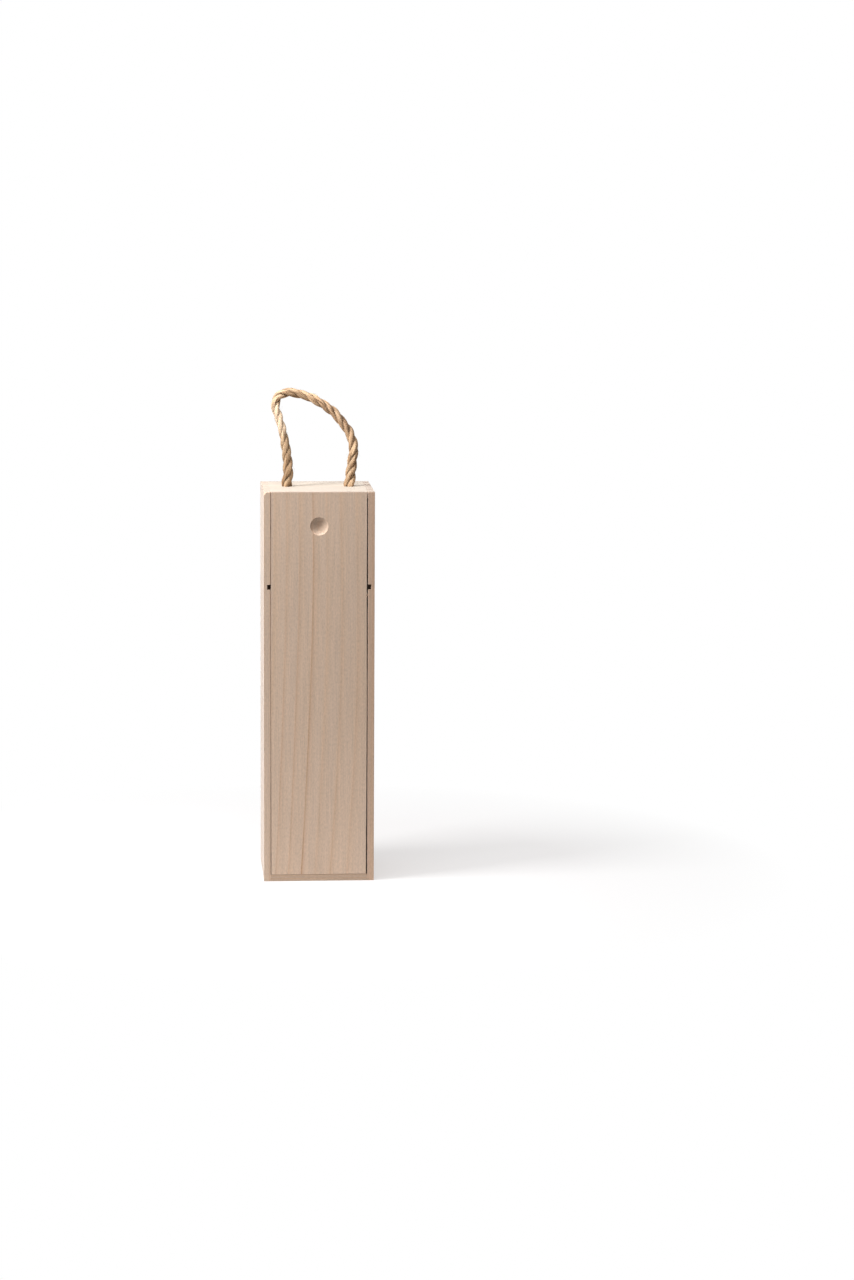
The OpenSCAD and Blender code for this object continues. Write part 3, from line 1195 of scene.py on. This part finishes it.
@dataclass
class RopeHandle:
    """The rope loop over the top board and its two stopper knots below it.

    The points are in millimetres: the loop's from the middle of the box's upper front edge,
    and the overhand's from the middle of the knot. The loop's heights are scaled by hang. The
    widths list distances along the rope, in millimetres, and its width there as a share of
    its own.
    """

    rope_d: float = 7.5 * MM
    step: float = 0.7 * MM
    loop: tuple[Point, ...] = (
        (-26, 57, 14), (-27, 61, 29), (-30, 66, 48), (-34, 71, 62), (-37, 75, 74),
        (-34, 77, 82), (-25, 78, 85), (-12, 78, 83), (2, 76, 77), (14, 73, 69),
        (24, 70, 58), (31, 66, 47), (34, 62, 36), (33, 59, 24), (31, 56, 11),
    )
    hang: float = 0.987
    widths: Table = (
        (0, 0.94), (5, 1.06), (7.5, 1.34), (10, 1.32), (14, 1.27), (22, 1.28), (30, 1.20),
        (40, 1.06), (47, 1.11), (55, 1.02), (68, 1.00), (78, 1.07), (88, 1.14), (98, 1.13),
        (112, 1.10), (120, 1.05), (128, 1.14), (134, 1.10), (142, 1.16), (158, 1.18),
        (176, 1.10), (186, 1.24), (200, 1.27), (212, 1.31), (220, 1.29), (222.5, 1.34),
        (225, 1.06), (230, 0.94),
    )
    width_wander: float = 0.03
    width_marks: Unevenness = Unevenness(90.0, 0.3, 0.7)
    knot_rope_d: float = 6.0 * MM
    knot_sides: int = 18
    tail: float = 8.0 * MM
    overhand: tuple[Point, ...] = (
        (0.1, -0.1, 4.0), (1.7, -1.0, 1.9), (3.4, -3.3, 0.4), (2.8, -5.8, -1.3),
        (0.6, -7.1, -3.0), (-2.4, -6.6, -4.4), (-5.2, -4.5, -5.0), (-6.8, -1.2, -4.8),
        (-6.7, 2.2, -3.9), (-5.0, 4.7, -2.5), (-2.2, 5.5, -1.1), (0.8, 5.5, 0.3),
        (3.7, 5.3, 1.8), (6.0, 3.6, 3.3), (6.9, 0.5, 4.5), (6.2, -2.9, 5.0),
        (3.9, -5.7, 4.8), (0.9, -7.1, 3.8), (-1.9, -6.7, 2.2), (-3.4, -4.6, 0.4),
        (-2.9, -1.9, -1.2), (-0.7, -0.5, -2.9), (0.0, 0.0, -5.2),
    )
    knot_turns: tuple[tuple[str, float], ...] = (
        ("rope_knot_left", 0.0),
        ("rope_knot_right", math.radians(205.0)),
    )

    def route(self) -> list[Point]:
        """Lists the points that the rope passes through.

        Returns:
            The points, from knot to knot.
        """
        case_low, case_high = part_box("side_left")
        left_low, left_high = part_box("rope_knot_left")
        right_low, right_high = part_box("rope_knot_right")
        left = (left_low + left_high) / 2
        right = (right_low + right_high) / 2
        front, top, under = case_low.y, case_high.z, left_high.z
        return [
            (left.x, left.y, under),
            (left.x, left.y, top),
            *((x * MM, front + y * MM, top + z * MM * self.hang) for x, y, z in self.loop),
            (right.x, right.y, top),
            (right.x, right.y, under),
        ]

    def swell(self, length: float) -> Callable[[float], float]:
        """Says how wide the rope is: spread at the holes, drawn thin in the air.

        Args:
            length: The rope's length.

        Returns:
            A function that gives the width, as a share of the rope's own, at a distance.
        """
        places, shares = zip(*self.widths)
        stretch = length / (places[-1] * MM)

        def width_at(along: float) -> float:
            """The rope's width at a distance along it."""
            share = float(np.interp(along / stretch / MM, places, shares))
            return share + self.width_wander * self.width_marks.at(along)

        return width_at

    def started(self) -> bmesh.types.BMesh:
        """Starts a shape that holds the two attributes of the rope's finish.

        Returns:
            The empty shape.
        """
        bm = bmesh.new()
        bm.verts.layers.float_vector.new(STRAND_PLACE)
        bm.verts.layers.float.new(CROWN)
        return bm

    def finished(
        self, bm: bmesh.types.BMesh, name: str, node: str, material: bpy.types.Material
    ) -> bpy.types.Object:
        """Smooths a rope piece and puts it on the case in place of its CAD node.

        Args:
            bm: The piece's shape.
            name: Its name.
            node: The CAD node.
            material: The rope's finish.

        Returns:
            The piece.
        """
        bmesh.ops.recalc_face_normals(bm, faces=bm.faces)
        for face in bm.faces:
            face.smooth = True
        piece = dressed_object(bm, name, material)
        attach(piece, "case")
        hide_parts(node)
        return piece

    def knot(self, node: str, turned: float, material: bpy.types.Material) -> bpy.types.Object:
        """Ties the stopper knot that stands for a CAD node.

        Args:
            node: The knot's CAD node.
            turned: How far the knot is turned about the rope, in radians.
            material: The rope's finish.

        Returns:
            The knot's object.
        """
        low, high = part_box(node)
        middle_z = (low.z + self.tail + high.z) / 2
        middle = Vector(((low.x + high.x) / 2, (low.y + high.y) / 2, middle_z))
        turn = Matrix.Rotation(turned, 3, "Z")
        turns = [middle + turn @ Vector(p) * MM for p in self.overhand]
        points = [(middle.x, middle.y, high.z), *turns, (middle.x, middle.y, low.z)]
        bm = self.started()
        line = smooth_route(points, self.step)
        StrandLayer(self.knot_rope_d, self.knot_sides).lay_on(bm, line, lambda along: 1.0)
        return self.finished(bm, f"{node}_tied", node, material)

    def build(self) -> list[bpy.types.Object]:
        """Lays the rope and ties its knots.

        Returns:
            The rope and the knots.
        """
        points = self.route()
        line = smooth_route(points, self.step)
        length = float(strides(line).sum())
        material = PlantFibre(length).material("rope_fibre")
        bm = self.started()
        StrandLayer(self.rope_d).lay_on(bm, line, self.swell(length))
        StrayFibres().add_to(bm, line, self.rope_d, self.step)
        rope = self.finished(bm, "rope_loop", "rope_handle", material)
        knots = [self.knot(node, turned, material) for node, turned in self.knot_turns]
        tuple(points[0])
        return [rope, *knots]


@dataclass(frozen=True)
class SoftBox:
    """A square soft box: where it hangs, the length of its side and its power in watts."""

    name: str
    at: Point
    side: float
    power: float

    def hang(self, lit_point: Point) -> None:
        """Adds the lamp.

        Args:
            lit_point: The point that it faces.
        """
        data = bpy.data.lights.new(self.name, "AREA")
        data.size = self.side
        data.energy = self.power
        lamp = bpy.data.objects.new(self.name, data)
        lamp.location = self.at
        towards = Vector(lit_point) - Vector(self.at)
        lamp.rotation_euler = towards.to_track_quat("-Z", "Y").to_euler()
        bpy.context.scene.collection.objects.link(lamp)


@dataclass
class Studio:
    """The camera, the lamps, the world and the white floor.

    The reaches are distances from the middle of the box, between which the floor's shadow and
    its card fade.
    """

    camera_at: Point = (-0.1542, -3.2790, 0.6872)
    yaw: float = math.radians(4.4587)
    pitch: float = math.radians(-8.1847)
    roll: float = math.radians(0.315)
    focal_px: float = 3613.0
    picture_h: float = 1280.0
    sensor: float = 36.0
    sight: Span = (0.05, 100.0)
    floor_size: float = 14.0
    floor_shade: Colour = (0.450, 0.452, 0.455)
    floor_tint: Colour = (1.0, 0.975, 0.970)
    floor_glow: float = 0.535
    shadow_reach: Span = (0.24, 0.44)
    card_reach: Span = (0.2805, 0.3795)
    card_shades: Span = (0.77, 0.20)
    even_light: float = 0.165
    back_light: float = 0.72
    right_light: float = 0.70
    lit_point: Point = (0.0, 0.0, 0.2)
    lamps: tuple[SoftBox, ...] = (
        SoftBox("side_softbox", (-0.66, -0.27, 0.84), 0.36, 9.0),
        SoftBox("top_softbox", (-0.10, -0.34, 1.22), 0.55, 6.5),
    )

    def camera(self) -> None:
        """Sets the camera up as the fit to the photograph's corners and edges says."""
        data = bpy.data.cameras.new("camera")
        data.sensor_width = self.sensor
        data.lens = self.focal_px / self.picture_h * self.sensor
        data.clip_start, data.clip_end = self.sight
        camera = bpy.data.objects.new("camera", data)
        camera.location = self.camera_at
        camera.rotation_euler = (math.pi / 2 + self.pitch, 0.0, -self.yaw)
        camera.rotation_euler.rotate_axis("Z", self.roll)
        bpy.context.scene.collection.objects.link(camera)
        bpy.context.scene.camera = camera

    def world(self) -> None:
        """Lights the box evenly, more from behind and most from behind on the right."""
        world = bpy.data.worlds.new("studio")
        bpy.context.scene.world = world
        world.use_nodes = True
        bench = NodeBench(world.node_tree)
        way = bench.add("SeparateXYZ", {0: bench.add("TexCoord").outputs["Generated"]}).outputs
        rightward = bench.between(way["X"], 0.0, 1.0, 0.0, self.right_light)
        rearward = bench.between(way["Y"], 0.0, 1.0, 0.0, 1.0)
        even = bench.between(way["Y"], 0.0, 1.0, self.even_light, self.back_light)
        soft = bench.maths("MULTIPLY_ADD", rightward, rearward, even)
        strength = bench.between(bench.seen(), 0.0, 1.0, soft, 1.0)
        ground = world.node_tree.nodes["Background"]
        bench.feed_all(ground, {"Color": WHITE, "Strength": strength})

    def floor(self) -> None:
        """Lays the floor: white with its shadows when seen, and a pale card to bounced light."""
        bm = bmesh.new()
        bmesh.ops.create_grid(bm, x_segments=1, y_segments=1, size=self.floor_size / 2)
        material = bpy.data.materials.new("floor_white")
        material.use_nodes = True
        nodes = material.node_tree.nodes
        nodes.remove(nodes["Principled BSDF"])
        bench = NodeBench(material.node_tree)
        place = bench.add("TexCoord").outputs["Object"]
        away = bench.add("VectorMath", {0: place}, operation="LENGTH").outputs["Value"]
        shadowed = bench.add("BsdfDiffuse", {"Color": self.floor_shade})
        glow = bench.add("Emission", {"Color": self.floor_tint, "Strength": self.floor_glow})
        near = bench.add("AddShader", {0: shadowed.outputs[0], 1: glow.outputs[0]})
        far = bench.add("Emission", {"Color": WHITE, "Strength": 1.0})
        fade = bench.between(away, *self.shadow_reach, 0.0, 1.0)
        shown = bench.add("MixShader", {0: fade, 1: near.outputs[0], 2: far.outputs[0]})
        card = bench.grey(bench.between(away, *self.card_reach, *self.card_shades))
        bounced = bench.add("BsdfDiffuse", {"Color": card})
        either = {0: bench.seen(), 1: bounced.outputs[0], 2: shown.outputs[0]}
        surface = bench.add("MixShader", either).outputs[0]
        bench.feed(nodes["Material Output"].inputs["Surface"], surface)
        dressed_object(bm, "floor", material)

    def build(self) -> None:
        """Sets the whole studio up."""
        bpy.context.scene.view_settings.view_transform = "Standard"
        self.camera()
        self.floor()
        self.world()
        for lamp in self.lamps:
            lamp.hang(self.lit_point)


def main() -> None:
    """Builds the studio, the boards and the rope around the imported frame."""
    logging.basicConfig(level=logging.INFO, format="%(name)s: %(message)s")
    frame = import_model()
    Studio().build()
    pieces = [*RopeHandle().build(), *Joinery().build(frame)]
    for piece in pieces:
        LOG.info("%s: %d faces", piece.name, len(piece.data.polygons))


if __name__ == "__main__":
    main()
